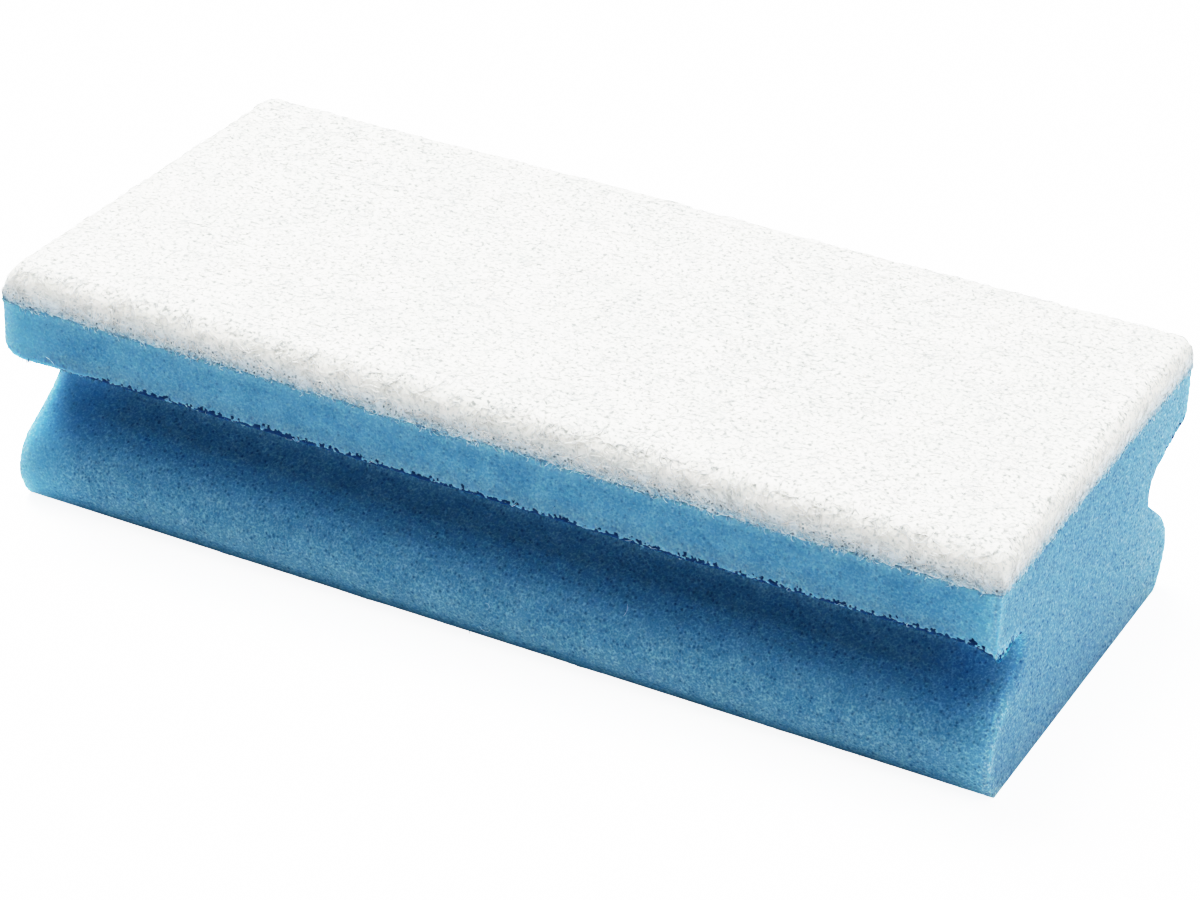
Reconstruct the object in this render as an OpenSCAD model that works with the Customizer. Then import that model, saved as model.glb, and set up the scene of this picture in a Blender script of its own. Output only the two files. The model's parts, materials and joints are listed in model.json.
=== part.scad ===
// Hand sponge with finger grooves and a laminated scouring pad.
// X runs along the grooves, Y across the lips, Z up from the foam's base to the pad's face.
// The origin is the centre of the base.

/* [Overall] */
// Length along the finger grooves
sponge_l = 150; // [80:1:220]
// Width across the lips
sponge_w = 70; // [66:1:110]
// Height from the foam base to the pad face
sponge_h = 39; // [36:0.5:46]

/* [Scouring pad] */
// Thickness of the fleece pad
pad_t = 5.2; // [4:0.1:8]
// Rounding of the pad's two long top edges
pad_side_r = 3.0; // [0.5:0.1:3.5]
// Rounding of the pad's top edges at the two cut ends
pad_end_r = 1.2; // [0.5:0.1:3.5]

/* [Adhesive] */
// Thickness of the bond line between the foam and the pad
bond_t = 0.2; // [0.1:0.05:0.5]
// How far the bond line stops short of the cut edges
bond_inset = 0.4; // [0:0.1:2]

/* [Finger grooves] */
// Thickness of the foam lip above each groove, at its outer edge
lip_t = 8.8; // [6:0.1:10]
// Rounding of the lip's lower corner
lip_r = 1.2; // [0.5:0.1:2.6]
// Slope of the groove's ceiling, rising outwards
ceiling_angle = 13; // [5:1:18]
// Rounding at the bottom of the groove
groove_r = 3.4; // [1:0.1:4]
// Slope of the groove's floor, falling outwards
floor_angle = 36; // [32:1:42]

/* [Lower lobes] */
// Radius of the rounded lobe under each groove
lobe_r = 7.5; // [6.5:0.1:8.5]
// How far each lobe stands inside the lip above it
lobe_inset = 1.9; // [0:0.1:4]
// Height of the lobe's widest point above the base
lobe_z = 6.3; // [5:0.1:6.4]

/* [Hidden] */
arc_steps = 14;

half_w = sponge_w / 2;
foam_h = sponge_h - pad_t - bond_t;
lobe_c = [half_w - lobe_inset - lobe_r, lobe_z];
lip_z = foam_h - lip_t;

// Unit vectors out of the foam, square to the groove's floor and to its ceiling.
floor_n = [sin(floor_angle), cos(floor_angle)];
ceiling_n = [sin(ceiling_angle), -cos(ceiling_angle)];

// The floor touches the lobe's arc and the ceiling meets the lip's outer plane at lip_z.
floor_p = lobe_c + lobe_r * floor_n;
ceiling_p = [half_w, lip_z];
lip_c = [half_w - lip_r, lip_z + lip_r * (1 - sin(ceiling_angle)) / cos(ceiling_angle)];

// The groove's rounding is centred groove_r off both planes, on the air side.
groove_c = meet(floor_p + groove_r * floor_n, floor_n, ceiling_p + groove_r * ceiling_n, ceiling_n);

// Where two lines cross, each given by a point and a normal.
function meet(p, n, q, m) =
    let (a = p * n, b = q * m, d = n[0] * m[1] - n[1] * m[0])
    [(a * m[1] - b * n[1]) / d, (b * n[0] - a * m[0]) / d];

// Points on an arc from angle a0 to a1.
function arc(c, r, a0, a1) =
    [for (i = [0 : arc_steps]) let (a = a0 + (a1 - a0) * i / arc_steps) c + r * [cos(a), sin(a)]];

// One side of the foam's section, from the base up to the bonding face.
function side() = concat(
    arc(lobe_c, lobe_r, -asin(lobe_z / lobe_r), 90 - floor_angle),
    arc(groove_c, groove_r, 270 - floor_angle, 90 + ceiling_angle),
    arc(lip_c, lip_r, ceiling_angle - 90, 0),
    [[half_w, foam_h]]
);

function mirrored(points) =
    [for (i = [len(points) - 1 : -1 : 0]) [-points[i][0], points[i][1]]];

// Runs a Y-Z section along X, centred.
module along_x(length) {
    rotate([90, 0, 90])
        linear_extrude(height = length, center = true)
            children();
}

// Runs an X-Z section along Y, centred.
module along_y(length) {
    rotate([90, 0, 0])
        linear_extrude(height = length, center = true)
            children();
}

// A slab's section with both top corners rounded.
module slab_section(width, height, r) {
    polygon(concat(
        [[-width / 2, 0], [width / 2, 0]],
        arc([width / 2 - r, height - r], r, 0, 90),
        arc([r - width / 2, height - r], r, 90, 180)
    ));
}

// Open-cell foam block with a finger groove along each side.
module foam_body() {
    color([0.31, 0.60, 0.78])
        along_x(sponge_l)
            polygon(concat(side(), mirrored(side())));
}

// Film that bonds the pad to the foam.
module adhesive_layer() {
    color([0.78, 0.86, 0.90])
        translate([0, 0, foam_h + bond_t / 2])
            cube([sponge_l - 2 * bond_inset, sponge_w - 2 * bond_inset, bond_t], center = true);
}

// Non-woven fleece pad, softer at its long edges than at its cut ends.
module scouring_pad() {
    color([0.95, 0.95, 0.94])
        translate([0, 0, foam_h + bond_t])
            intersection() {
                along_x(sponge_l) slab_section(sponge_w, pad_t, pad_side_r);
                along_y(sponge_w) slab_section(sponge_l, pad_t, pad_end_r);
            }
}

foam_body();
adhesive_layer();
scouring_pad();
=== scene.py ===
"""Looks for a hand sponge: blue open-cell foam with finger grooves, bonded to a white fleece pad.

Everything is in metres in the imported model's frame: X along the grooves, Z up, origin at the centre
of the foam's base. Lengths below are given in millimetres times MM.
"""

import json
import math

import bmesh
import bpy
import numpy as np
from mathutils import Matrix, Quaternion, Vector, geometry, noise
from mathutils.bvhtree import BVHTree


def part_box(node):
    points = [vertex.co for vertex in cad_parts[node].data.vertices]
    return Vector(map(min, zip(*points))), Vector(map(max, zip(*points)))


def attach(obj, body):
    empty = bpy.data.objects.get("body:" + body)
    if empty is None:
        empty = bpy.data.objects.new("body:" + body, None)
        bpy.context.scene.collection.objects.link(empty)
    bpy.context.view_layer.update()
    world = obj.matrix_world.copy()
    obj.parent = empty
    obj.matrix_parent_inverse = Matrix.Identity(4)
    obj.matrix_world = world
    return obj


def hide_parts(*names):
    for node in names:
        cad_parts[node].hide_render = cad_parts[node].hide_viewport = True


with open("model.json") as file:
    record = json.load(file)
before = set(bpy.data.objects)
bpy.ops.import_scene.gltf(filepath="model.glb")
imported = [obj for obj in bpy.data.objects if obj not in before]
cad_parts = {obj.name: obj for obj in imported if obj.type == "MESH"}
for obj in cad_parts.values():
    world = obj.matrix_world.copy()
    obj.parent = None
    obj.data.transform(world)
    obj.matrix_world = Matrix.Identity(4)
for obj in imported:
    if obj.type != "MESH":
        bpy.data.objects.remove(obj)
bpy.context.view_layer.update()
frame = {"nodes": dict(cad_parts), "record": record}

MM = 0.001

# The smallest distance that counts as apart.
CLOSE = 1e-6

# The camera: the direction it looks from, how far it stands from its aim, its lean and its lens.
VIEW_AZIMUTH = math.radians(26.07)
VIEW_ELEVATION = math.radians(29.63)
VIEW_ROLL = math.radians(2.73)
VIEW_DISTANCE = 540.0 * MM
VIEW_AIM = Vector((-1.6, 6.4, 11.3)) * MM
VIEW_LENS = 113.4
SENSOR_WIDTH = 36.0

# The soft block's slow waviness: how far it bends along each axis and over what distances, and the same
# for the seam's own rise and fall.
BEND = (0.20 * MM, 0.30 * MM, 0.35 * MM)
BEND_SIZE = (38 * MM, 45 * MM, 40 * MM)
SEAM_BEND = 0.35 * MM
SEAM_BEND_SIZE = 14 * MM
SEAM_BEND_REACH = 2.5 * MM

# Foam skin: how far apart its mesh points stand, and the size and depth of its pores, lumps and grain.
FOAM_STEP = 0.45 * MM
FOAM_HIDDEN_STEP = 3.0 * MM
FOAM_BASE_STEP = 1.8 * MM
FOAM_PORE = 0.9 * MM
FOAM_PORE_DEPTH = 0.13 * MM
FOAM_LUMP = 7.0 * MM
FOAM_LUMP_HEIGHT = 0.12 * MM
FOAM_GRAIN = 0.5 * MM
FOAM_GRAIN_HEIGHT = 0.06 * MM

# The foam's cut ends draw in: over what length, and how deep at the lips and in the grooves. How far the
# painted highlight at their rims reaches at the right and left end.
FOAM_CUT_LENGTH = 1.4 * MM
FOAM_CUT_DEPTH = 0.3 * MM
GROOVE_CUT_DEPTH = 1.2 * MM
RIGHT_RIM_LIGHT = 1.3 * MM
LEFT_RIM_LIGHT = 2.4 * MM

# At the left end the block is squashed round: over what length, how many times deeper than at the
# right end, and how far its lips' edges rise. At the right end the near lip droops to a tip and the
# far one rises a little.
LEFT_CUT_LENGTH = 3.0 * MM
LEFT_CUT_SHARE = 2.6
LEFT_LIP_RISE = 2.0 * MM
TIP_LENGTH = 4.5 * MM
NEAR_TIP_RISE = -1.7 * MM
FAR_TIP_RISE = 0.5 * MM

# The lips' lower edges, where torn cells stand open: cell size and depth, how high they reach and what
# share of that the lowest do, how far the edge lies under the lip's flat face, how wide its rounding
# is, how far in the lip reaches on an end face, and the groove ceiling's slope.
TORN_CELL = 0.40 * MM
TORN_DEPTH = 0.10 * MM
TORN_REACH = 1.3 * MM
TORN_LEAST = 0.32
LIP_DROP = 0.95 * MM
LIP_ROUND = 1.2 * MM
LIP_REACH = 9.5 * MM
CEILING_SLOPE = math.tan(math.radians(13.0))

# Broken cell walls that stand off the foam: how many, how near the torn edges most of them stand, and
# the shortest and longest, thinnest and thickest.
STRUTS = 800
STRUT_SPREAD = 0.35 * MM
STRUT_LENGTH = (0.2 * MM, 0.45 * MM)
STRUT_RADIUS = (0.03 * MM, 0.06 * MM)

# The bond's film: how far apart its mesh points stand, how much its edge waves, what share of its width
# it loses at the cut ends, and over what length.
FILM_STEP = 1.5 * MM
FILM_CAP_STEP = 0.5 * MM
FILM_STATIONS = 120
FILM_WAVE = 0.004
FILM_TAPER = 0.05
FILM_TAPER_LENGTH = 6 * MM

# The foam's colours as they look on a screen, by where it lies: general; painted shade deep in the
# grooves and a painted half shade where the lips' shadow on them ends; painted shade towards the base and
# a painted contact shadow along it; painted light on the lobes, over the seam and on the lips' lower
# band; painted light where light comes through near the ends; the cut faces, with painted light on their
# far side; a painted highlight along the cut rims; and painted shade in the torn cells. The last two are
# its broken cell walls'.
FOAM_DARK = (88, 147, 183)
FOAM_LIGHT = (101, 157, 190)
FOAM_GROOVE_PAINTED_SHADE = (35, 85, 131)
FOAM_HALF_SHADE = (91, 159, 203)
FOAM_LOW_PAINTED_SHADE = (46, 100, 134)
FOAM_BASE_PAINTED_SHADOW = (30, 64, 84)
FOAM_LOBE_PAINTED_LIGHT = (113, 163, 190)
FOAM_SEAM_PAINTED_LIGHT = (126, 180, 210)
FOAM_LIP_PAINTED_LIGHT = (110, 147, 166)
FOAM_DEEP_GLOW = (88, 159, 212)
FOAM_PALE_GLOW = (128, 192, 222)
FOAM_CUT = (101, 146, 179)
FOAM_CUT_FAR_PAINTED_LIGHT = (152, 197, 219)
FOAM_RIM_PAINTED_HIGHLIGHT = (150, 200, 224)
FOAM_TORN_PAINTED_SHADE = (23, 63, 104)
STRUT_DARK = (70, 128, 168)
STRUT_LIGHT = (104, 158, 192)

# How much lighter the foam's strands show than its skin, and how much darker its pores, as RGBA gains.
FOAM_STRAND_GAIN = (2.45, 1.72, 1.36, 1.0)
FOAM_PORE_GAIN = (0.25, 0.40, 0.55, 1.0)
UNCHANGED = (1.0, 1.0, 1.0, 1.0)

# Fleece: how far apart the pad's mesh points stand, how its edges are rounded and how much it narrows
# there, the size and height of its skin's tufts and grain, and how far and how high up its edge frays.
PAD_STEP = 0.42 * MM
PAD_HIDDEN_STEP = 3.0 * MM
PAD_SIDE_R = 3.3 * MM
PAD_RIGHT_R = 2.2 * MM
PAD_LEFT_R = 3.2 * MM
PAD_NARROWING = 0.22
PAD_TUFT = 1.1 * MM
PAD_TUFT_HEIGHT = 0.14 * MM
PAD_GRAIN = 0.45 * MM
PAD_GRAIN_HEIGHT = 0.06 * MM
PAD_FRAY = 0.55 * MM
PAD_FRAY_HEIGHT = 1.6 * MM

# How many fibres of each kind lie on the pad and, where they are loose, on the foam.
TOP_FIBRES = 4500
EDGE_FIBRES = 3200
SEAM_TUFTS = 6000
LOOSE_FIBRES = 60

# The fleece's, its fibres' and the film's colours as they look on a screen, with painted shade on the
# fleece near the bond and painted blue light off the foam on the fibres there.
FLEECE_GREY = (246, 246, 240)
FLEECE_WHITE = (255, 253, 246)
FLEECE_GAP = (184, 190, 192)
FLEECE_SPECK = (164, 168, 166)
FLEECE_BOND_PAINTED_SHADE = (194, 218, 238)
FLEECE_HOLE = (76, 104, 118)
FIBRE_GREY = (232, 235, 236)
FIBRE_WHITE = (252, 252, 250)
FIBRE_FOAM_LIGHT_BLUE = (138, 196, 226)
FIBRE_FOAM_LIGHT_WHITE = (222, 244, 255)
FILM_BLUE = (150, 190, 210)
FILM_WHITE = (232, 240, 244)

# The floor is a softly lit white table: how far it lies under the base, how much it lights the sponge,
# and how white it and the backdrop look.
FLOOR_GAP = 0.02 * MM
FLOOR_GLOW = 0.14
FLOOR_WHITE = 1.4
BACKDROP_WHITE = 1.5

# Soft lights: name, azimuth and elevation in degrees, and power. All are as large and as far away.
LIGHTS = (
    ("key_left", -120, 68, 15.6),
    ("fill_front", 40, 68, 5.1),
    ("low_right", 110, 15, 4.0),
)
LIGHT_SIZE = 0.6
LIGHT_DISTANCE = 1.0

# The camera's response to light: darks fall away faster than in life, and lights level off.
RESPONSE_MIDDLE = 0.35
RESPONSE_CONTRAST = 1.3
RESPONSE_WHITE = 4.0

foam_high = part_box("foam_body")[1]
film_low, film_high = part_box("adhesive_layer")
pad_low, pad_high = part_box("scouring_pad")
HALF_L = foam_high.x
HALF_W = foam_high.y
FOAM_TOP = foam_high.z


# ---------------------------------------------------------------- outlines


def cad_outline(node):
    """Corner points (y, z) of a CAD solid's +X end face, in order round it."""
    solid = bmesh.new()
    solid.from_mesh(node.data)
    bmesh.ops.remove_doubles(solid, verts=solid.verts, dist=1e-7)
    end = max(v.co.x for v in solid.verts) - CLOSE
    step = {}
    for edge in solid.edges:
        on_end = all(v.co.x > end for v in edge.verts)
        leaves_end = any(v.co.x < end for face in edge.link_faces for v in face.verts)
        if on_end and leaves_end:
            a, b = edge.verts
            step.setdefault(a, []).append(b)
            step.setdefault(b, []).append(a)
    first = min(step, key=lambda v: (v.co.z, v.co.y))
    ring = [first]
    previous = None
    while True:
        onward = [v for v in step[ring[-1]] if v is not previous]
        previous = ring[-1]
        if onward[0] is first:
            break
        ring.append(onward[0])
    points = np.array([(v.co.y, v.co.z) for v in ring])
    solid.free()
    return points if signed_area(points) > 0 else points[::-1]


def signed_area(points):
    """Area inside a closed outline, positive if it runs anticlockwise."""
    after = np.roll(points, -1, axis=0)
    return 0.5 * float(np.sum(points[:, 0] * after[:, 1] - after[:, 0] * points[:, 1]))


def subdivided(points, step_at):
    """The outline with more points on its sides, step_at(height) apart."""
    dense = []
    for a, b in zip(points, np.roll(points, -1, axis=0)):
        height = (a[1] + b[1]) / 2
        count = max(1, round(float(np.linalg.norm(b - a)) / step_at(height)))
        dense += [a + (b - a) * i / count for i in range(count)]
    return np.array(dense)


def outward(points):
    """Unit normals of an anticlockwise outline."""
    along = np.roll(points, -1, axis=0) - np.roll(points, 1, axis=0)
    along /= np.linalg.norm(along, axis=1)[:, None]
    return np.stack((along[:, 1], -along[:, 0]), axis=1)


def inside(points, outline):
    """Which points lie inside a closed outline, by counting crossings."""
    result = np.zeros(len(points), bool)
    for a, b in zip(outline, np.roll(outline, -1, axis=0)):
        spans = (a[1] > points[:, 1]) != (b[1] > points[:, 1])
        if a[1] != b[1]:
            crossing = a[0] + (points[:, 1] - a[1]) * (b[0] - a[0]) / (b[1] - a[1])
            result ^= spans & (points[:, 0] < crossing)
    return result


# ---------------------------------------------------------------- solids


def cap_fill(outline, step, rng):
    """Scattered points inside an outline, and the triangles that join them and it."""
    low, high = outline.min(0), outline.max(0)
    grid = np.mgrid[low[0] : high[0] : step, low[1] : high[1] : step].reshape(2, -1).T
    grid += rng.uniform(-0.3, 0.3, grid.shape) * step
    grid = grid[inside(grid, outline)]
    gap = np.min(np.linalg.norm(grid[:, None] - outline[None], axis=2), axis=1)
    grid = grid[gap > 0.6 * step]
    count = len(outline)
    corners = [Vector(p) for p in outline / MM] + [Vector(p) for p in grid / MM]
    rim = [(i, (i + 1) % count) for i in range(count)]
    made = geometry.delaunay_2d_cdt(corners, rim, [], 1, 1e-6)
    source = [origin[0] for origin in made[3]]
    return grid, [[source[i] for i in face] for face in made[2]]


def swept_solid(name, stations, cap_step, rng):
    """A closed mesh through equal-length outlines, stations being (x, points) pairs in order."""
    count = len(stations[0][1])
    rings = [np.column_stack((np.full(count, x), points)) for x, points in stations]
    faces = []
    for j in range(len(stations) - 1):
        for k in range(count):
            a, b = j * count + k, j * count + (k + 1) % count
            faces.append((a, b, b + count, a + count))
    vertices = rings
    total = count * len(stations)
    for x, points, first, flip in (
        (*stations[0], 0, True),
        (*stations[-1], total - count, False),
    ):
        grid, triangles = cap_fill(points, cap_step, rng)
        vertices = vertices + [np.column_stack((np.full(len(grid), x), grid))]
        for t in triangles:
            face = [first + i if i < count else total + i - count for i in t]
            faces.append(face[::-1] if flip else face)
        total += len(grid)
    mesh = bpy.data.meshes.new(name)
    mesh.from_pydata(np.concatenate(vertices).tolist(), [], faces)
    mesh.validate()
    return mesh


def columns(half, step, edge):
    """Positions along X, closer together on the last stretch at each end."""
    turn = np.linspace(0, math.pi / 2, 5)
    near = half - edge + edge * np.sin(turn)
    middle = np.linspace(-near[0], near[0], round(2 * near[0] / step) + 1)
    return np.concatenate((-near[:0:-1], middle, near[1:]))


def rounding(distance, length):
    """How far a quarter circle has turned in, 0 to 1, at a distance from the end that it rounds."""
    reach = np.clip(1 - distance / length, 0, 1)
    return 1 - np.sqrt(1 - reach**2)


def positions(mesh):
    """A mesh's vertices as an array."""
    flat = np.zeros(len(mesh.vertices) * 3)
    mesh.vertices.foreach_get("co", flat)
    return flat.reshape(-1, 3)


def normals(mesh):
    """A mesh's vertex normals as an array."""
    flat = np.zeros(len(mesh.vertices) * 3)
    mesh.vertices.foreach_get("normal", flat)
    return flat.reshape(-1, 3)


def move(mesh, points):
    """Puts a mesh's vertices at points."""
    mesh.vertices.foreach_set("co", points.astype(np.float32).ravel())
    mesh.update()


def store(mesh, name, values):
    """Keeps one number per vertex on a mesh, for materials to read."""
    mesh.attributes.new(name, "FLOAT", "POINT").data.foreach_set("value", values.astype(np.float32))


def stored(mesh, name):
    """The numbers kept by store()."""
    values = np.zeros(len(mesh.vertices), np.float32)
    mesh.attributes[name].data.foreach_get("value", values)
    return values


def noise_at(points, size, seed=0):
    """Smooth noise from -1 to 1 at each point, with features of the given size."""
    shift = Vector((seed * 17.3, seed * 5.1, seed * 9.7))
    return np.array([noise.noise(Vector(p) + shift) for p in (points / size)])


def cells_at(points, size):
    """Distance to the nearest of the random points that stand about size apart, over size."""
    return np.array([noise.voronoi(Vector(p))[0][0] for p in (points / size)])


def smooth_step(value, low, high):
    """0 below low, 1 above high, with a soft ramp between."""
    t = np.clip((value - low) / (high - low), 0, 1)
    return t * t * (3 - 2 * t)


def uneven(points):
    """The slow waviness of the whole soft block, growing from nothing at the base."""
    share = np.clip(points[:, 2] / pad_high.z, 0, 1)
    flat = points * (1, 0.4, 0)
    bend = np.column_stack(
        (
            BEND[0] * noise_at(points, BEND_SIZE[0], 1),
            BEND[1] * noise_at(flat, BEND_SIZE[1], 2),
            BEND[2] * noise_at(flat, BEND_SIZE[2], 3),
        )
    )
    near_seam = np.exp(-(((points[:, 2] - FOAM_TOP) / SEAM_BEND_REACH) ** 2))
    bend[:, 2] += SEAM_BEND * near_seam * noise_at(flat, SEAM_BEND_SIZE, 15)
    return points + bend * share[:, None]


def refined(mesh, picked):
    """Halves the mesh's edges whose two ends are both picked, and splits what has many sides then."""
    solid = bmesh.new()
    solid.from_mesh(mesh)
    edges = [e for e in solid.edges if picked[e.verts[0].index] and picked[e.verts[1].index]]
    bmesh.ops.subdivide_edges(solid, edges=edges, cuts=1, use_grid_fill=True)
    many_sided = [face for face in solid.faces if len(face.verts) > 4]
    bmesh.ops.triangulate(solid, faces=many_sided, ngon_method="BEAUTY")
    solid.to_mesh(mesh)
    solid.free()


def new_piece(name, mesh, material, node=None):
    """A shown piece on the one body."""
    piece = bpy.data.objects.new(name, mesh)
    bpy.context.scene.collection.objects.link(piece)
    mesh.materials.append(material)
    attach(piece, "root")
    if node:
        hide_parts(node)
    return piece


# ---------------------------------------------------------------- fibres


def tubes(name, paths, over, radii):
    """A mesh of closed three-sided tubes along paths. over points away from what they lie on."""
    n, k = radii.shape
    along = np.gradient(paths, axis=1)
    along /= np.linalg.norm(along, axis=2, keepdims=True)
    across = np.cross(along, over)
    across /= np.maximum(np.linalg.norm(across, axis=2, keepdims=True), 1e-9)
    upward = np.cross(along, across)
    turn = np.arange(3)[:, None] * 2 * math.pi / 3
    ring = across[:, :, None] * np.cos(turn) + upward[:, :, None] * np.sin(turn)
    points = paths[:, :, None] + ring * radii[:, :, None, None]
    sides = [(j * 3 + s, j * 3 + (s + 1) % 3) for j in range(k - 1) for s in range(3)]
    pattern = [(a, b, b + 3, a + 3) for a, b in sides] + [(2, 1, 0), (3 * k - 3, 3 * k - 2, 3 * k - 1)]
    faces = [[corner + i * 3 * k for corner in face] for i in range(n) for face in pattern]
    mesh = bpy.data.meshes.new(name)
    mesh.from_pydata(points.reshape(-1, 3).tolist(), [], faces)
    mesh.shade_smooth()
    return mesh


def lay_strands(trees, starts, headings, step, curl, lift):
    """Paths that wander over the nearest of some surfaces, and the surfaces' normals along them."""
    paths = np.zeros(lift.shape + (3,))
    over = np.zeros(lift.shape + (3,))
    for i, (start, heading) in enumerate(zip(starts, headings)):
        at, way = Vector(start), Vector(heading)
        for k, height in enumerate(lift[i]):
            hits = [tree.find_nearest(at) for tree in trees]
            spot, facing, _, _ = min(hits, key=lambda hit: hit[3])
            way = (way - facing * way.dot(facing)).normalized()
            way.rotate(Quaternion(facing, curl[i]))
            paths[i, k] = spot + facing * height
            over[i, k] = facing
            at = spot + way * step[i]
    return paths, over


def make_fibres(name, trees, starts, headings, knots, step, radius, lift, rng, material):
    """Many short fibres over the surfaces in trees, each of some knots that stand a step apart."""
    n = len(starts)
    arch = np.sin(np.linspace(0.1, math.pi - 0.1, knots))
    heights = rng.uniform(0, lift, (n, 1)) * arch + rng.uniform(-0.3, 0.3, (n, knots)) * radius[0]
    curl = rng.normal(0, 0.45, n)
    paths, over = lay_strands(trees, starts, headings, rng.uniform(*step, n), curl, heights)
    taper = np.clip(1.5 * np.sin(np.linspace(0.3, math.pi - 0.3, knots)), 0, 1)
    radii = rng.uniform(*radius, (n, 1)) * taper
    return new_piece(name, tubes(name, paths, over, radii), material)


def search_tree(piece):
    """A piece's surface, for finding the nearest point on it."""
    return BVHTree.FromObject(piece, bpy.context.evaluated_depsgraph_get())


# ---------------------------------------------------------------- foam


def foam_step(z):
    """Point spacing round the foam's section: coarse where the film or the floor hides it."""
    if z > FOAM_TOP - CLOSE:
        return FOAM_HIDDEN_STEP
    return FOAM_BASE_STEP if z < CLOSE else FOAM_STEP


def lip_height():
    """How high the lips' lower corners hang, from the CAD solid's section."""
    outline = cad_outline(frame["nodes"]["foam_body"])
    flat_face = outline[outline[:, 0] > HALF_W - CLOSE]
    return flat_face[:, 1].min() - LIP_DROP


def torn_distance(points, lip_z):
    """How far each point stands from a lip's torn lower edge, along the sides and on the end faces."""
    x, y = points[:, 0], np.abs(points[:, 1])
    over_lip = points[:, 2] - lip_z - lip_shift(x, points[:, 1])
    over_ceiling = over_lip + (HALF_W - y) * CEILING_SLOPE
    from_corner = np.hypot(np.maximum(HALF_W - y - LIP_ROUND, 0), over_lip)
    from_end = np.hypot(HALF_L - np.abs(x), over_ceiling) + (y < HALF_W - LIP_REACH)
    return np.minimum(from_corner, from_end)


def torn_cells(points, lip_z):
    """1 in the open cells that cut up into the lips' lower edges, 0 between them."""
    torn = np.zeros(len(points))
    near = torn_distance(points, lip_z) < TORN_REACH + TORN_CELL
    centres = np.array([noise.voronoi(Vector(p))[1][0] for p in points[near] / TORN_CELL])
    chance = np.array([0.5 + 0.5 * noise.cell(Vector(c) * 9.7) for c in centres])
    whole = smooth_step(centres[:, 0] * TORN_CELL, 2 * MM - HALF_L, 24 * MM - HALF_L)
    reach = TORN_REACH * (TORN_LEAST + (1 - TORN_LEAST) * chance) * whole
    torn[near] = torn_distance(centres * TORN_CELL, lip_z) < reach
    return torn


def foam_relief(points, torn):
    """How far each point of the foam's skin stands out: pores, lumps and torn cells at the lips."""
    pores = 1 - smooth_step(cells_at(points, FOAM_PORE), 0.15, 0.55)
    lumps = noise_at(points, FOAM_LUMP, 4)
    grain = noise_at(points, FOAM_GRAIN, 5)
    relief = FOAM_LUMP_HEIGHT * lumps - FOAM_PORE_DEPTH * pores + FOAM_GRAIN_HEIGHT * grain
    relief -= TORN_DEPTH * torn
    bonded = smooth_step(FOAM_TOP - points[:, 2], 0.0, 0.6 * MM)
    resting = smooth_step(points[:, 2], 0.0, 0.5 * MM)
    return relief * bonded * (0.1 + 0.9 * resting)


def cut_depth(points, lip_z):
    """How far each point of the section draws in at a cut end: least at the lips, most in the grooves."""
    groove_z = frame["record"]["mounts"][2]["pos_m"][2]
    z = points[:, 1]
    in_groove = smooth_step(z, 2 * MM, groove_z - 4 * MM) * (1 - smooth_step(z, groove_z, lip_z))
    depth = FOAM_CUT_DEPTH + (GROOVE_CUT_DEPTH - FOAM_CUT_DEPTH) * in_groove
    return depth * smooth_step(z, 0, 2.5 * MM)


def lip_shift(x, y):
    """How far the lips' lower edges stand off their straight line at the ends, up being positive."""
    left = LEFT_LIP_RISE * rounding(HALF_L + x, LEFT_CUT_LENGTH)
    right = np.where(y < 0, NEAR_TIP_RISE, FAR_TIP_RISE) * rounding(HALF_L - x, TIP_LENGTH)
    return (left + right) * smooth_step(np.abs(y), HALF_W - 9 * MM, HALF_W - 2 * MM)


def foam_ring(outline, side, x, lip_z):
    """The foam's section at x, drawn in at the cut ends, with its lips raised or drooping there."""
    length = LEFT_CUT_LENGTH if x < 0 else FOAM_CUT_LENGTH
    depth = LEFT_CUT_SHARE if x < 0 else 1
    ring = outline - depth * side * rounding(HALF_L - abs(x), length)
    y, z = outline[:, 0], outline[:, 1]
    ring[:, 1] += np.exp(-(((z - lip_z) / (2.6 * MM)) ** 2)) * lip_shift(x, y)
    return ring


def rim_distance(points, outline):
    """How far each point stands from the nearest cut edge, where an end face meets the skin."""
    from_end = HALF_L - np.abs(points[:, 0])
    on_end = from_end < 0.01 * MM
    from_skin = np.zeros(len(points))
    gaps = np.linalg.norm(points[on_end, None, 1:] - outline[None], axis=2)
    from_skin[on_end] = gaps.min(axis=1)
    return np.hypot(from_end, from_skin)


def rim_light_share(points, outline):
    """How strong the painted highlight is near the foam's cut rims: most at the left end, least in the
    right end's grooves.
    """
    left = points[:, 0] < 0
    reach = np.where(left, LEFT_RIM_LIGHT, RIGHT_RIM_LIGHT)
    rim_light = np.exp(-((rim_distance(points, outline) / reach) ** 2))
    in_groove = 1 - smooth_step(np.abs(points[:, 1]), HALF_W - 11 * MM, HALF_W - 5 * MM)
    on_end = np.abs(points[:, 0]) > HALF_L - 0.05 * MM
    return rim_light * np.where(left, 1.5 - 1.0 * on_end, 1 - in_groove)


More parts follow.
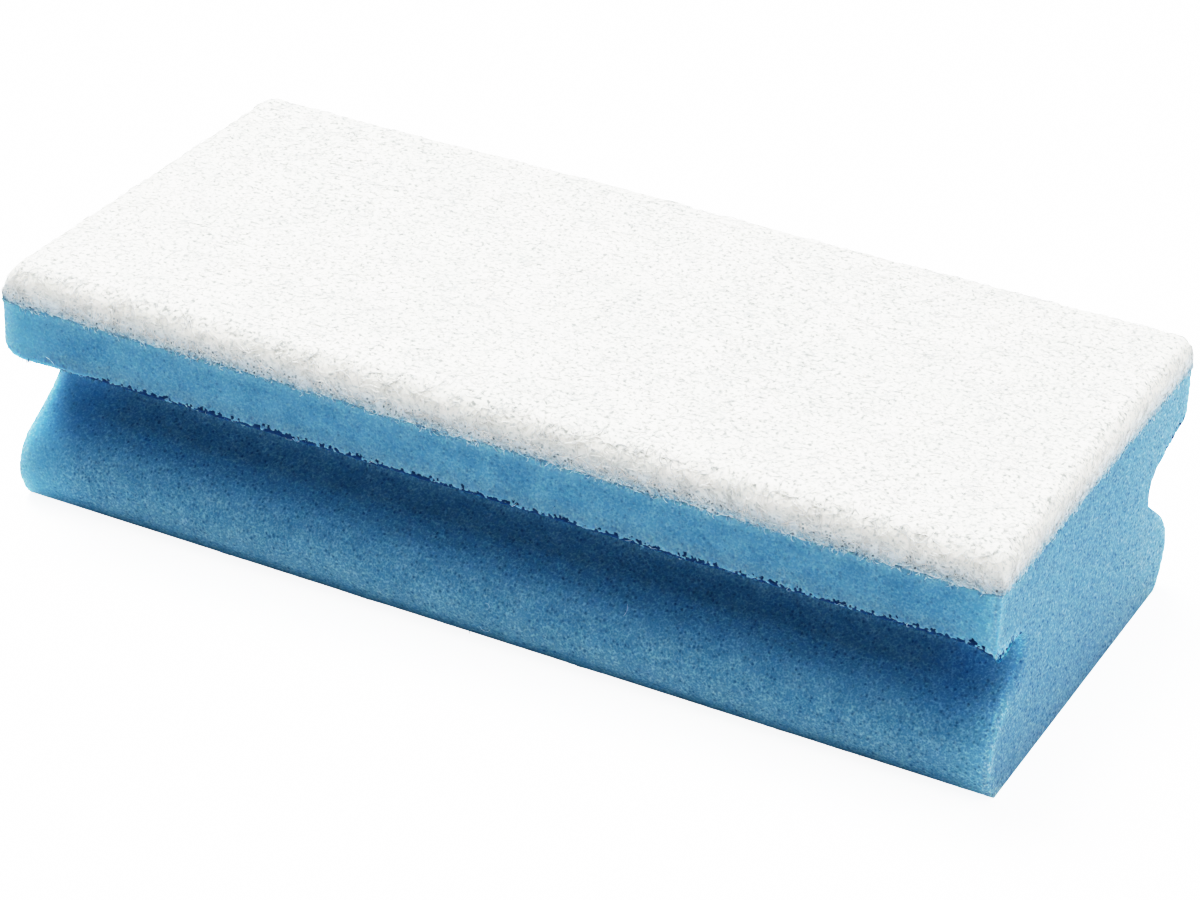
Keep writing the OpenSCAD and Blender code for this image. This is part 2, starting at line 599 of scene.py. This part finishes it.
def make_foam(lip_z, material):
    """The foam block, with its section read from the CAD solid."""
    rng = np.random.default_rng(11)
    outline = subdivided(cad_outline(frame["nodes"]["foam_body"]), foam_step)
    side = outward(outline)
    side[outline[:, 1] > FOAM_TOP - CLOSE] *= (1, 0)
    side *= cut_depth(outline, lip_z)[:, None]
    at_x = columns(HALF_L, FOAM_STEP, FOAM_CUT_LENGTH)
    stations = [(x, foam_ring(outline, side, x, lip_z)) for x in at_x]
    mesh = swept_solid("foam", stations, 1.2 * FOAM_STEP, rng)
    for margin in (3, 1):
        refined(mesh, torn_distance(positions(mesh), lip_z) < TORN_REACH + margin * FOAM_STEP / 2)
    points = positions(mesh)
    loose = np.abs(points[:, 0]) < HALF_L - LEFT_CUT_LENGTH
    points[:, 0] += rng.uniform(-0.1, 0.1, len(points)) * FOAM_STEP * loose
    move(mesh, points)
    # Painted highlight strength along the cut rims, kept for the colour and for placing struts.
    store(mesh, "rim_light", rim_light_share(points, outline))
    torn = torn_cells(points, lip_z)
    store(mesh, "torn", torn)
    points = points + normals(mesh) * foam_relief(points, torn)[:, None]
    points[:, 2] = np.clip(points[:, 2], 0, FOAM_TOP)
    move(mesh, uneven(points))
    mesh.shade_smooth()
    return new_piece("foam_body_open_cell", mesh, material, "foam_body")


def make_struts(foam, lip_z, material):
    """Broken cell walls that stand off the foam: thick along the torn lips, thin elsewhere."""
    rng = np.random.default_rng(21)
    points = positions(foam.data)
    facing = normals(foam.data)
    clear = (points[:, 2] > 0.6 * MM) & (points[:, 2] < FOAM_TOP - 0.5 * MM)
    at_lip = np.exp(-((torn_distance(points, lip_z) / STRUT_SPREAD) ** 2))
    at_rim = stored(foam.data, "rim_light")
    weight = clear * (0.10 + at_lip + 0.05 * at_rim)
    picked = rng.choice(len(points), STRUTS, replace=False, p=weight / weight.sum())
    lean = facing[picked] + rng.normal(0, 0.25, (STRUTS, 3))
    lean /= np.linalg.norm(lean, axis=1)[:, None]
    length = rng.uniform(*STRUT_LENGTH, STRUTS) * (1 + 0.7 * at_lip[picked])
    share = np.array((-0.3, 0.35, 1.0))
    paths = points[picked, None] + lean[:, None] * (share * length[:, None])[:, :, None]
    paths[:, 2] += rng.normal(0, 0.12, (STRUTS, 3)) * length[:, None]
    taper = np.array((1.6, 1.0, 0.4))
    radii = rng.uniform(*STRUT_RADIUS, (STRUTS, 1)) * taper
    beside = np.repeat(np.roll(lean, 1, axis=1)[:, None], len(share), axis=1)
    mesh = tubes("struts", paths, beside, radii)
    return new_piece("foam_cell_struts", mesh, material)


# ---------------------------------------------------------------- film


def make_film(material):
    """The thin bond film, with a wavy edge, narrower at the cut ends."""
    rng = np.random.default_rng(12)
    half_l, half_w = film_high.x, film_high.y
    low, high = film_low.z, film_high.z
    corners = np.array([(-half_w, low), (half_w, low), (half_w, high), (-half_w, high)])
    outline = subdivided(corners, lambda z: FILM_STEP)
    stations = [(at, outline) for at in np.linspace(-half_l, half_l, FILM_STATIONS)]
    mesh = swept_solid("film", stations, FILM_CAP_STEP, rng)
    points = positions(mesh)
    wave = 1 - FILM_WAVE * (1 + noise_at(points, 4 * MM, 8))
    points[:, 0] *= wave
    from_end = half_l - np.abs(points[:, 0])
    points[:, 1] *= wave * (1 - FILM_TAPER * rounding(from_end, FILM_TAPER_LENGTH))
    move(mesh, uneven(points))
    mesh.shade_smooth()
    return new_piece("adhesive_film", mesh, material, "adhesive_layer")


# ---------------------------------------------------------------- pad


def pad_outline():
    """The pad's section, from its box and the rounding of its long edges."""
    turn = np.linspace(0, math.pi / 2, 7)
    arc = np.column_stack((np.cos(turn), np.sin(turn))) * PAD_SIDE_R
    right = arc + (pad_high.y - PAD_SIDE_R, pad_high.z - PAD_SIDE_R)
    left = right[::-1] * (-1, 1)
    return np.concatenate(([(-pad_high.y, pad_low.z), (pad_high.y, pad_low.z)], right, left))


def pad_step(z):
    """Point spacing round the pad's section: coarse underneath."""
    return PAD_HIDDEN_STEP if z < pad_low.z + CLOSE else PAD_STEP


def pad_stations(outline):
    """The pad's outlines, lower and narrower towards its rounded ends."""
    stations = []
    for at in columns(HALF_L, PAD_STEP, PAD_RIGHT_R):
        radius = PAD_LEFT_R if at < 0 else PAD_RIGHT_R
        part = rounding(HALF_L - abs(at), radius)
        drop = radius / (pad_high.z - pad_low.z)
        points = outline.copy()
        points[:, 0] *= 1 - PAD_NARROWING * radius / HALF_W * part
        points[:, 1] = pad_low.z + (points[:, 1] - pad_low.z) * (1 - drop * part)
        stations.append((at, points))
    return stations


def at_pad_rim(points):
    """Which points lie on the pad's sides or ends."""
    beside = np.abs(points[:, 1]) > pad_high.y - 0.3 * MM
    return beside | (np.abs(points[:, 0]) > pad_high.x - 0.3 * MM)


def fray(mesh):
    """Moves the pad's lower edge down over the film, and in or out, in tufts."""
    points = positions(mesh)
    low = at_pad_rim(points) * (1 - smooth_step(points[:, 2], pad_low.z, pad_low.z + PAD_FRAY_HEIGHT))
    seam = points * (1, 1, 0)
    drop = noise_at(seam, 2.2 * MM, 14) + 0.6 * noise_at(seam, 0.8 * MM, 16)
    proud = 0.03 + 0.15 * noise_at(points, 0.9 * MM, 17)
    away = np.sign(points) * (np.abs(points) > np.array(pad_high) - 0.3 * MM) * (1, 1, 0)
    points += away * (low * proud * MM)[:, None]
    points[:, 2] += low * PAD_FRAY * np.minimum(drop - 0.5, -0.5)
    move(mesh, points)


def make_pad(material):
    """The fleece pad's body, felted and soft at its edges."""
    rng = np.random.default_rng(13)
    stations = pad_stations(subdivided(pad_outline(), pad_step))
    mesh = swept_solid("fleece", stations, 1.2 * PAD_STEP, rng)
    for _ in range(3):
        points = positions(mesh)
        on_end = np.abs(points[:, 0]) > HALF_L - 0.01 * MM
        refined(mesh, on_end & (points[:, 2] < pad_low.z + 0.01 * MM))
    points = positions(mesh)
    tufts = noise_at(points * (0.6, 1, 1), PAD_TUFT, 9)
    fine = noise_at(points, PAD_GRAIN, 10)
    free = smooth_step(points[:, 2], pad_low.z, pad_low.z + 0.3 * MM)
    relief = (PAD_TUFT_HEIGHT * tufts + PAD_GRAIN_HEIGHT * fine) * (0.3 + 0.7 * free)
    move(mesh, points + normals(mesh) * relief[:, None])
    fray(mesh)
    move(mesh, uneven(positions(mesh)))
    mesh.shade_smooth()
    return new_piece("fleece_pad", mesh, material, "scouring_pad")


def some(points, count, rng):
    """So many of the points, picked at random."""
    return points[rng.choice(len(points), count, replace=len(points) < count)]


def make_pad_fibres(pad, foam, material):
    """Fibres over the pad's face and edges, and tufts that cross the seam onto the foam."""
    rng = np.random.default_rng(31)
    points = positions(pad.data)
    facing = normals(pad.data)
    height = points[:, 2] - pad_low.z
    rim = at_pad_rim(points)
    on_top = (facing[:, 2] > 0.8) & (height > 3 * MM)
    on_edge = ~on_top & (height > 0.2 * MM) & (facing[:, 2] > -0.5)
    at_seam = rim & (height < 1.0 * MM)
    skin = [search_tree(pad)]
    both = [search_tree(pad), search_tree(foam)]

    def ways(count, drop):
        return rng.normal(0, 1, (count, 3)) * (1.3, 1, 0.8) - (0, 0, drop)

    make_fibres(
        "fleece_top_fibres", skin, some(points[on_top], TOP_FIBRES, rng), ways(TOP_FIBRES, 0),
        knots=6, step=(0.3 * MM, 0.8 * MM), radius=(0.035 * MM, 0.055 * MM), lift=0.05 * MM,
        rng=rng, material=material,
    )
    make_fibres(
        "fleece_edge_fibres", skin, some(points[on_edge], EDGE_FIBRES, rng), ways(EDGE_FIBRES, 0),
        knots=6, step=(0.25 * MM, 0.6 * MM), radius=(0.035 * MM, 0.060 * MM), lift=0.25 * MM,
        rng=rng, material=material,
    )
    make_fibres(
        "seam_tufts", both, some(points[at_seam], SEAM_TUFTS, rng), ways(SEAM_TUFTS, 0.2),
        knots=5, step=(0.10 * MM, 0.30 * MM), radius=(0.035 * MM, 0.09 * MM), lift=0.12 * MM,
        rng=rng, material=material,
    )


def make_loose_fibres(foam, material):
    """A few short white fibres that cling to the foam's sides."""
    rng = np.random.default_rng(41)
    points = positions(foam.data)
    clear = (points[:, 2] > 2 * MM) & (points[:, 2] < FOAM_TOP - 1 * MM)
    make_fibres(
        "loose_fibres", [search_tree(foam)], some(points[clear], LOOSE_FIBRES, rng),
        rng.normal(0, 1, (LOOSE_FIBRES, 3)),
        knots=5, step=(0.15 * MM, 0.55 * MM), radius=(0.03 * MM, 0.06 * MM), lift=0.25 * MM,
        rng=rng, material=material,
    )


# ---------------------------------------------------------------- materials


def add(tree, kind, settings=None, **inputs):
    """A shader node, with its settings, and with its inputs set to values or linked to sockets."""
    made = tree.nodes.new("ShaderNode" + kind)
    for name, value in (settings or {}).items():
        setattr(made, name, value)
    for name, value in inputs.items():
        wanted = name.replace("_", " ")
        socket = next(s for s in made.inputs if s.name == wanted and s.enabled)
        if isinstance(value, bpy.types.NodeSocket):
            tree.links.new(value, socket)
        else:
            socket.default_value = value
    return made


def out(made, name):
    """A node's output socket by name, taking the enabled one."""
    return next(s for s in made.outputs if s.name == name and s.enabled)


def srgb(colour):
    """A colour of 0 to 255 screen values, as linear RGBA."""
    share = [v / 255 for v in colour]
    return [v / 12.92 if v <= 0.04045 else ((v + 0.055) / 1.055) ** 2.4 for v in share] + [1.0]


def mix(tree, share, a, b):
    """Colour between a and b."""
    made = add(tree, "Mix", {"data_type": "RGBA"}, Factor=share, A=a, B=b)
    return out(made, "Result")


def ramp(tree, value, low, high, to_low=0.0, to_high=1.0):
    """value mapped smoothly from low..high to to_low..to_high."""
    made = add(
        tree, "MapRange", {"interpolation_type": "SMOOTHSTEP"},
        Value=value, From_Min=low, From_Max=high, To_Min=to_low, To_Max=to_high,
    )
    return out(made, "Result")


def spread(tree, value, to_low=0.0, to_high=1.0):
    """A noise value, most of which lies between 0.3 and 0.7, mapped to to_low..to_high."""
    return ramp(tree, value, 0.3, 0.7, to_low, to_high)


def times(tree, a, b):
    """Product of two values."""
    made = add(tree, "Math", {"operation": "MULTIPLY"})
    for socket, value in zip(made.inputs, (a, b)):
        if isinstance(value, bpy.types.NodeSocket):
            tree.links.new(value, socket)
        else:
            socket.default_value = value
    return made.outputs[0]


def absolute(tree, value):
    """A value without its sign."""
    made = add(tree, "Math", {"operation": "ABSOLUTE"})
    tree.links.new(value, made.inputs[0])
    return made.outputs[0]


def start_material(name):
    """A material's node tree, its surface shader and the object's own coordinates."""
    material = bpy.data.materials.new(name)
    material.use_nodes = True
    tree = material.node_tree
    place = out(add(tree, "TexCoord"), "Object")
    return material, tree, tree.nodes["Principled BSDF"], place


def near_ends(tree, x, reach, clear, left_share):
    """1 at the cut ends, falling to 0 at reach from them; at the left end it reaches differently."""
    right = ramp(tree, x, HALF_L - reach, HALF_L - clear)
    left = ramp(tree, x, -HALF_L + reach * left_share, -HALF_L + clear * left_share)
    both = add(tree, "Math", {"operation": "MAXIMUM"})
    tree.links.new(right, both.inputs[0])
    tree.links.new(left, both.inputs[1])
    return both.outputs[0]


def band(tree, value, low, low_full, high_full, high, most=1.0):
    """A hump: most from low_full to high_full, falling to 0 at low and at high."""
    rise = ramp(tree, value, low, low_full, 0, most)
    return times(tree, rise, ramp(tree, value, high_full, high, 1, 0))


def multiplied(tree, a, b):
    """Product of two colours."""
    made = add(tree, "Mix", {"data_type": "RGBA", "blend_type": "MULTIPLY"}, Factor=1.0, A=a, B=b)
    return out(made, "Result")


def foam_painted_shading(tree, wall, xyz):
    """The foam's colour shifted by where it lies, all painted light and shade: painted shade deeper in
    the grooves and towards the base, a greyer painted contact shadow at the base, a painted half shade,
    and painted light on the lobes, over the seam and, greyer, on the lips' lower band.
    """
    across = absolute(tree, out(xyz, "Y"))
    height = out(xyz, "Z")
    # Painted shade deep in the grooves.
    groove_shade = ramp(tree, across, HALF_W - 9 * MM, HALF_W - 6.5 * MM, 0.22, 0)
    wall = mix(tree, groove_shade, wall, srgb(FOAM_GROOVE_PAINTED_SHADE))
    penumbra = band(
        tree, across, HALF_W - 8.5 * MM, HALF_W - 6.5 * MM, HALF_W - 5 * MM, HALF_W - 2 * MM, 0.7
    )
    wall = mix(tree, penumbra, wall, srgb(FOAM_HALF_SHADE))
    # Painted shade towards the base, darkest low down.
    wall = mix(tree, ramp(tree, height, 0.4 * MM, 4.4 * MM, 0.85, 0), wall, srgb(FOAM_LOW_PAINTED_SHADE))
    # Painted contact shadow along the base.
    wall = mix(tree, ramp(tree, height, 0.1 * MM, 0.5 * MM, 0.6, 0), wall, srgb(FOAM_BASE_PAINTED_SHADOW))
    # Painted light on the lobes.
    lobe_light = band(tree, height, 2.5 * MM, 4.5 * MM, 5.5 * MM, 8.0 * MM, 0.30)
    wall = mix(tree, lobe_light, wall, srgb(FOAM_LOBE_PAINTED_LIGHT))
    # Painted light on the foam just under the seam.
    seam_light = ramp(tree, height, FOAM_TOP - 2.2 * MM, FOAM_TOP - 0.2 * MM, 0, 0.65)
    wall = mix(tree, seam_light, wall, srgb(FOAM_SEAM_PAINTED_LIGHT))
    # Painted light, greyer, on the lips' lower band.
    on_lip = ramp(tree, across, HALF_W - 2 * MM, HALF_W - 0.6 * MM)
    low_lip_light = ramp(tree, height, FOAM_TOP - 7.5 * MM, FOAM_TOP - 4.5 * MM, 0.35, 0)
    return mix(tree, times(tree, on_lip, low_lip_light), wall, srgb(FOAM_LIP_PAINTED_LIGHT))


def end_glow(tree, wall, xyz):
    """The foam's colour near its cut ends, where light comes through it: deep blue, then pale."""
    across = absolute(tree, out(xyz, "Y"))
    share = ramp(tree, across, HALF_W - 6 * MM, HALF_W - 2.5 * MM, 0.68, 0.12)
    deep = times(tree, near_ends(tree, out(xyz, "X"), 15 * MM, 3.5 * MM, 1.0), share)
    wall = mix(tree, deep, wall, srgb(FOAM_DEEP_GLOW))
    share = ramp(tree, across, HALF_W - 5 * MM, HALF_W - 2.5 * MM, 0.9, 0.6)
    pale = times(tree, near_ends(tree, out(xyz, "X"), 8 * MM, -2 * MM, 1.6), share)
    return mix(tree, pale, wall, srgb(FOAM_PALE_GLOW))


def foam_material():
    """Blue polyurethane foam: light cell walls round darker pores, with light carried under the skin."""
    material, tree, surface, place = start_material("blue_foam")
    xyz = add(tree, "SeparateXYZ", Vector=place)
    blotch = out(add(tree, "TexNoise", Vector=place, Scale=1 / (4 * MM), Detail=4.0), "Fac")
    grain = out(add(tree, "TexNoise", Vector=place, Scale=1 / (0.42 * MM), Detail=3.0), "Fac")
    cells = add(tree, "TexVoronoi", Vector=place, Scale=1 / (0.60 * MM), Randomness=1.0)
    small = add(tree, "TexVoronoi", Vector=place, Scale=1 / (0.30 * MM), Randomness=1.0)
    wall = mix(tree, ramp(tree, blotch, 0.35, 0.65), srgb(FOAM_DARK), srgb(FOAM_LIGHT))
    wall = end_glow(tree, foam_painted_shading(tree, wall, xyz), xyz)
    along = absolute(tree, out(xyz, "X"))
    at_end = ramp(tree, along, HALF_L - 1.2 * MM, HALF_L - 0.1 * MM)
    # Painted light on the far side of the cut ends.
    far_side_light = ramp(tree, out(xyz, "Y"), 0, HALF_W, 0, 0.2)
    cut = mix(tree, far_side_light, srgb(FOAM_CUT), srgb(FOAM_CUT_FAR_PAINTED_LIGHT))
    wall = mix(tree, at_end, wall, cut)
    # Painted highlight along the cut rims.
    rim_light = out(add(tree, "Attribute", {"attribute_name": "rim_light"}), "Fac")
    wall = mix(tree, times(tree, rim_light, 0.5), wall, srgb(FOAM_RIM_PAINTED_HIGHLIGHT))
    strand = ramp(tree, out(small, "Distance"), 0.25, 0.75)
    light = times(tree, strand, spread(tree, grain))
    calm = ramp(tree, out(xyz, "X"), 2 * MM - HALF_L, 14 * MM - HALF_L, 0.5, 1)
    calm = ramp(tree, at_end, 0, 1, calm, 1)
    on_lip = ramp(tree, absolute(tree, out(xyz, "Y")), HALF_W - 1.6 * MM, HALF_W - 0.5 * MM, 1, 0.62)
    calm = times(tree, calm, on_lip)
    shown = times(tree, light, calm)
    wall = multiplied(tree, wall, mix(tree, shown, UNCHANGED, FOAM_STRAND_GAIN))
    open_cell = ramp(tree, out(cells, "Distance"), 0.0, 0.6, 1, 0)
    chance = out(add(tree, "SeparateColor", Color=out(cells, "Color")), "Red")
    pore = times(tree, times(tree, open_cell, calm), ramp(tree, chance, 0.2, 1.0, 0.0, 0.9))
    colour = multiplied(tree, wall, mix(tree, pore, UNCHANGED, FOAM_PORE_GAIN))
    # Painted shade in the torn open cells along the lips' lower edges.
    torn = out(add(tree, "Attribute", {"attribute_name": "torn"}), "Fac")
    colour = mix(tree, ramp(tree, torn, 0.3, 0.7), colour, srgb(FOAM_TORN_PAINTED_SHADE))
    tree.links.new(colour, surface.inputs["Base Color"])
    tree.links.new(spread(tree, grain, 1.0, 0.85), surface.inputs["Roughness"])
    surface.inputs["Specular IOR Level"].default_value = 0.1
    surface.inputs["Subsurface Weight"].default_value = 0.7
    surface.inputs["Subsurface Radius"].default_value = (0.25, 0.6, 1.0)
    surface.inputs["Subsurface Scale"].default_value = 2.2 * MM
    dents = add(tree, "Bump", Height=times(tree, open_cell, -1.0), Distance=0.12 * MM, Strength=0.35)
    fine = add(
        tree, "Bump", Height=light, Distance=0.10 * MM, Strength=0.35, Normal=out(dents, "Normal")
    )
    tree.links.new(out(fine, "Normal"), surface.inputs["Normal"])
    return material


def strut_material():
    """Single cell walls of the same foam, too thin to carry light."""
    material, tree, surface, place = start_material("blue_foam_struts")
    shade = out(add(tree, "TexNoise", Vector=place, Scale=1 / (0.8 * MM), Detail=2.0), "Fac")
    colour = mix(tree, spread(tree, shade), srgb(STRUT_DARK), srgb(STRUT_LIGHT))
    tree.links.new(colour, surface.inputs["Base Color"])
    tree.links.new(spread(tree, shade, 1.0, 0.8), surface.inputs["Roughness"])
    surface.inputs["Specular IOR Level"].default_value = 0.1
    bump = add(tree, "Bump", Height=shade, Distance=0.03 * MM, Strength=0.3)
    tree.links.new(out(bump, "Normal"), surface.inputs["Normal"])
    return material


def fleece_material():
    """White non-woven fleece: faint grey gaps between fibres, with painted shade, greyer and bluer, at
    the bond line.
    """
    material, tree, surface, place = start_material("white_fleece")
    stretch = out(add(tree, "Mapping", Vector=place, Scale=(0.7, 1.0, 1.0)), "Vector")
    gaps = out(add(tree, "TexNoise", Vector=stretch, Scale=1 / (0.5 * MM), Detail=4.0), "Fac")
    speck = out(add(tree, "TexNoise", Vector=place, Scale=1 / (0.6 * MM), Detail=2.0), "Fac")
    blotch = out(add(tree, "TexNoise", Vector=place, Scale=1 / (9 * MM), Detail=2.0), "Fac")
    white = mix(tree, ramp(tree, blotch, 0.4, 0.6), srgb(FLEECE_GREY), srgb(FLEECE_WHITE))
    xyz = add(tree, "SeparateXYZ", Vector=place)
    height = out(xyz, "Z")
    on_top = ramp(tree, height, pad_high.z - 1.6 * MM, pad_high.z - 0.5 * MM)
    near_bond = ramp(tree, height, pad_low.z + 0.3 * MM, pad_low.z + 3.0 * MM, 1, 0)
    colour = mix(tree, ramp(tree, gaps, 0.50, 0.70, 0, 0.7), white, srgb(FLEECE_GAP))
    spots = times(tree, ramp(tree, speck, 0.48, 0.72), ramp(tree, on_top, 0, 1, 0.2, 1.0))
    colour = mix(tree, spots, colour, srgb(FLEECE_SPECK))
    # Painted shade towards the bond line, bluish from the foam showing through.
    bond_shade = ramp(tree, height, pad_low.z, pad_low.z + 3.8 * MM, 0.6, 0)
    colour = mix(tree, bond_shade, colour, srgb(FLEECE_BOND_PAINTED_SHADE))
    dots = add(tree, "TexVoronoi", Vector=place, Scale=1 / (0.55 * MM), Randomness=1.0)
    chance = out(add(tree, "SeparateColor", Color=out(dots, "Color")), "Red")
    inner = ramp(tree, out(dots, "Distance"), 0.15, 0.48, 1, 0)
    dot = times(tree, times(tree, inner, ramp(tree, chance, 0.1, 0.5)), near_bond)
    cluster = out(add(tree, "TexNoise", Vector=place, Scale=1 / (7 * MM), Detail=2.0), "Fac")
    colour = mix(tree, times(tree, dot, ramp(tree, cluster, 0.33, 0.50)), colour, srgb(FLEECE_HOLE))
    tree.links.new(colour, surface.inputs["Base Color"])
    tree.links.new(spread(tree, gaps, 0.8, 1.0), surface.inputs["Roughness"])
    surface.inputs["Specular IOR Level"].default_value = 0.2
    surface.inputs["Sheen Weight"].default_value = 0.15
    surface.inputs["Subsurface Weight"].default_value = 0.4
    surface.inputs["Subsurface Radius"].default_value = (1.0, 1.0, 1.0)
    surface.inputs["Subsurface Scale"].default_value = 1.6 * MM
    bump = add(tree, "Bump", Height=gaps, Distance=0.2 * MM, Strength=0.6)
    tree.links.new(out(bump, "Normal"), surface.inputs["Normal"])
    return material


def fibre_material():
    """Single white fibres, a little brighter and glossier than the felt they lie on, painted blue near
    the foam as if lit by light off it.
    """
    material, tree, surface, place = start_material("white_fibre")
    shade = out(add(tree, "TexNoise", Vector=place, Scale=1 / (2 * MM), Detail=3.0), "Fac")
    colour = mix(tree, spread(tree, shade), srgb(FIBRE_GREY), srgb(FIBRE_WHITE))
    height = out(add(tree, "SeparateXYZ", Vector=place), "Z")
    # Painted blue light off the foam on fibres at and below the bond line.
    low = ramp(tree, height, pad_low.z - 0.6 * MM, pad_low.z + 1.4 * MM, 0.9, 0)
    patch = out(add(tree, "TexNoise", Vector=place, Scale=1 / (0.6 * MM), Detail=2.0), "Fac")
    thin = mix(tree, ramp(tree, patch, 0.40, 0.60), srgb(FIBRE_FOAM_LIGHT_BLUE), srgb(FIBRE_FOAM_LIGHT_WHITE))
    colour = mix(tree, low, colour, thin)
    tree.links.new(colour, surface.inputs["Base Color"])
    tree.links.new(spread(tree, shade, 0.45, 0.65), surface.inputs["Roughness"])
    surface.inputs["Specular IOR Level"].default_value = 0.3
    bump = add(tree, "Bump", Height=shade, Distance=0.05 * MM, Strength=0.3)
    tree.links.new(out(bump, "Normal"), surface.inputs["Normal"])
    return material


def film_material():
    """Dried adhesive: pale, a little shiny and uneven."""
    material, tree, surface, place = start_material("dried_adhesive")
    web = add(tree, "TexNoise", Vector=place, Scale=1 / (1.5 * MM), Detail=3.0)
    colour = mix(tree, out(web, "Fac"), srgb(FILM_BLUE), srgb(FILM_WHITE))
    tree.links.new(colour, surface.inputs["Base Color"])
    surface.inputs["Roughness"].default_value = 0.45
    return material


# ---------------------------------------------------------------- stage


def make_floor():
    """A plain pale floor."""
    mesh = bpy.data.meshes.new("floor")
    reach = 4.0
    low = -FLOOR_GAP
    corners = [(-reach, -reach, low), (reach, -reach, low), (reach, reach, low), (-reach, reach, low)]
    mesh.from_pydata(corners, [], [(0, 1, 2, 3)])
    floor = bpy.data.objects.new("floor", mesh)
    bpy.context.scene.collection.objects.link(floor)
    material, tree, surface, _ = start_material("floor_paint")
    surface.inputs["Base Color"].default_value = (0.85, 0.85, 0.85, 1)
    surface.inputs["Emission Color"].default_value = (1, 1, 1, 1)
    seen = out(add(tree, "LightPath"), "Is Camera Ray")
    glow = ramp(tree, seen, 0, 1, FLOOR_GLOW, FLOOR_WHITE)
    tree.links.new(glow, surface.inputs["Emission Strength"])
    surface.inputs["Roughness"].default_value = 1.0
    surface.inputs["Specular IOR Level"].default_value = 0.0
    mesh.materials.append(material)


def soft_light(name, azimuth, elevation, power):
    """A square area light that points at the sponge from azimuth and elevation in degrees."""
    lamp = bpy.data.lights.new(name, "AREA")
    lamp.size = LIGHT_SIZE
    lamp.energy = power
    light = bpy.data.objects.new(name, lamp)
    bpy.context.scene.collection.objects.link(light)
    a, e = math.radians(azimuth), math.radians(elevation)
    back = Vector((math.sin(a) * math.cos(e), -math.cos(a) * math.cos(e), math.sin(e)))
    light.location = back * LIGHT_DISTANCE
    light.rotation_euler = (-back).to_track_quat("-Z", "Y").to_euler()


def make_world():
    """A white backdrop that is seen but lights nothing."""
    world = bpy.data.worlds.new("studio")
    bpy.context.scene.world = world
    world.use_nodes = True
    tree = world.node_tree
    background = tree.nodes["Background"]
    background.inputs["Color"].default_value = (1, 1, 1, 1)
    seen = out(add(tree, "LightPath"), "Is Camera Ray")
    tree.links.new(times(tree, seen, BACKDROP_WHITE), background.inputs["Strength"])


def make_camera():
    """The camera, at the viewing angle given at the top."""
    lens = bpy.data.cameras.new("camera")
    lens.sensor_width = SENSOR_WIDTH
    lens.lens = VIEW_LENS
    lens.clip_start = 0.01
    lens.clip_end = 20.0
    camera = bpy.data.objects.new("camera", lens)
    bpy.context.scene.collection.objects.link(camera)
    back = Vector(
        (
            math.sin(VIEW_AZIMUTH) * math.cos(VIEW_ELEVATION),
            -math.cos(VIEW_AZIMUTH) * math.cos(VIEW_ELEVATION),
            math.sin(VIEW_ELEVATION),
        )
    )
    turn = (-back).to_track_quat("-Z", "Y").to_matrix().to_4x4()
    camera.matrix_world = (
        Matrix.Translation(VIEW_AIM + back * VIEW_DISTANCE) @ turn @ Matrix.Rotation(VIEW_ROLL, 4, "Z")
    )
    bpy.context.scene.camera = camera


def response(level):
    """How bright a light level shows: a power law below the middle, levelling off above it."""
    if level < RESPONSE_MIDDLE:
        return RESPONSE_MIDDLE * (level / RESPONSE_MIDDLE) ** RESPONSE_CONTRAST
    rise = RESPONSE_CONTRAST * (level - RESPONSE_MIDDLE) / (1 - RESPONSE_MIDDLE)
    return 1 - (1 - RESPONSE_MIDDLE) * math.exp(-rise)


def set_response():
    """Gives the view the camera's response."""
    view = bpy.context.scene.view_settings
    view.view_transform = "Standard"
    view.use_curve_mapping = True
    mapping = view.curve_mapping
    mapping.white_level = (RESPONSE_WHITE, RESPONSE_WHITE, RESPONSE_WHITE)
    curve = mapping.curves[3]
    for level in np.geomspace(0.01, 0.8 * RESPONSE_WHITE, 14):
        curve.points.new(level / RESPONSE_WHITE, response(level))
    mapping.update()


# ---------------------------------------------------------------- build

blue = foam_material()
white_fibre = fibre_material()
lip_z = lip_height()
foam = make_foam(lip_z, blue)
make_struts(foam, lip_z, strut_material())
make_film(film_material())
pad = make_pad(fleece_material())
make_pad_fibres(pad, foam, white_fibre)
make_loose_fibres(foam, white_fibre)

make_floor()
make_world()
for name, azimuth, elevation, power in LIGHTS:
    soft_light(name, azimuth, elevation, power)
make_camera()
set_response()
